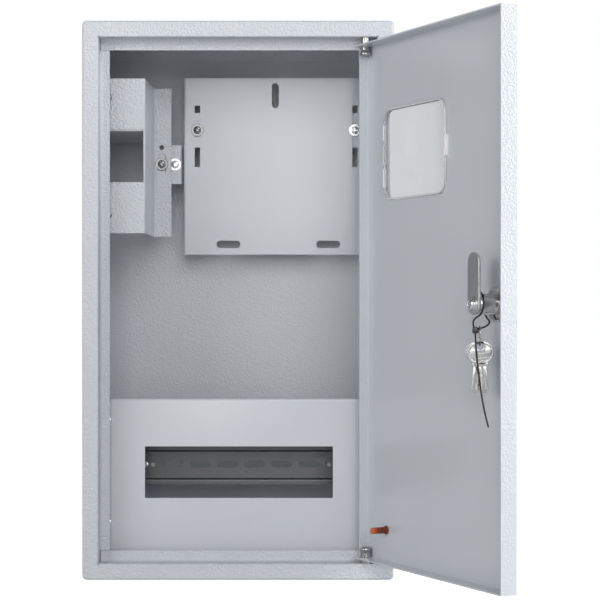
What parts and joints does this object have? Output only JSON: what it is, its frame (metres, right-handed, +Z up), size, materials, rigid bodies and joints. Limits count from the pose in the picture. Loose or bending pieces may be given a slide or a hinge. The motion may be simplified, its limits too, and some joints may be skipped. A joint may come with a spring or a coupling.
{
  "type": "electrical enclosure",
  "caption": "Wall-mounted sheet-steel meter and distribution enclosure with a hinged windowed door, cam lock with hanging keys, slotted meter plate, sealed breaker cover and rail panel.",
  "frame": {"origin": "centre of the rear face that lies against the wall", "axes": "+Y out of the back into the wall, the door on the -Y side, +Z up along the height, +X to the hinge side"},
  "size_m": [0.3564, 0.3566, 0.49],
  "materials": {
    "powder_coat": "light grey powder coat with a fine orange-peel texture",
    "galvanized_steel": "dull galvanized sheet",
    "zinc_fastener": "bright zinc plate",
    "pin_steel": "turned steel",
    "lock_alloy": "satin nickel plate",
    "zinc_cam": "dull zinc plate",
    "clear_plastic": "clear moulded plastic window",
    "cap_plastic": "dark red-brown soft plastic",
    "tie_plastic": "black moulded plastic",
    "key_steel": "nickel-plated key blank"
  },
  "bodies": {
    "case": {"casing": "powder_coat", "back_panel": "powder_coat", "breaker_cover": "powder_coat", "breaker_shelf": "powder_coat", "cover_standoff": "powder_coat", "meter_plate": "powder_coat", "module_panel": "powder_coat", "cover_bracket_upper": "powder_coat", "cover_bracket_lower": "powder_coat", "meter_bracket_left": "powder_coat", "meter_bracket_right": "powder_coat", "panel_bracket_left": "powder_coat", "panel_bracket_right": "powder_coat", "rail_support_left": "powder_coat", "rail_support_right": "powder_coat", "din_rail": "galvanized_steel", "cover_screw_upper": "zinc_fastener", "cover_screw_lower": "zinc_fastener", "seal_screw": "zinc_fastener", "seal_washer": "zinc_fastener", "standoff_screw": "zinc_fastener", "standoff_washer": "zinc_fastener", "meter_screw_left": "zinc_fastener", "meter_screw_right": "zinc_fastener", "meter_washer_left": "zinc_fastener", "meter_washer_right": "zinc_fastener", "panel_screw_left_upper": "zinc_fastener", "panel_screw_left_lower": "zinc_fastener", "panel_screw_right_upper": "zinc_fastener", "panel_screw_right_lower": "zinc_fastener", "rail_screw_left": "zinc_fastener", "rail_screw_right": "zinc_fastener"},
    "door": {"door_leaf": "powder_coat", "window_pane": "clear_plastic", "hinge_pin_top": "pin_steel", "hinge_pin_bottom": "pin_steel", "earth_stud": "pin_steel", "stud_cap": "cap_plastic", "lock_body": "lock_alloy", "lock_nut": "lock_alloy"},
    "lock_cam": {"lock_plug": "lock_alloy", "cam": "zinc_cam", "cam_washer": "zinc_fastener", "cam_screw": "zinc_fastener"},
    "keys": {"cable_tie": "tie_plastic", "key_link": "key_steel", "key_front": "key_steel", "key_back": "key_steel"}
  },
  "joints": [
    {"name": "door_hinge", "type": "hinge", "parent": "case", "child": "door", "pos_m": [0.112, -0.1436, 0], "axis": [0, 0, 1], "range_deg": [-116.14, 1.5]},
    {"name": "lock_turn", "type": "hinge", "parent": "door", "child": "lock_cam", "pos_m": [0.18965, -0.33496, -0.0047], "axis": [0.8977, 0.4406, 0], "range_deg": [0, 90]},
    {"name": "keys_swing", "type": "hinge", "parent": "door", "child": "keys", "pos_m": [0.20123, -0.32928, -0.0047], "axis": [0.8977, 0.4406, 0], "range_deg": [-4, 8]}
  ]
}
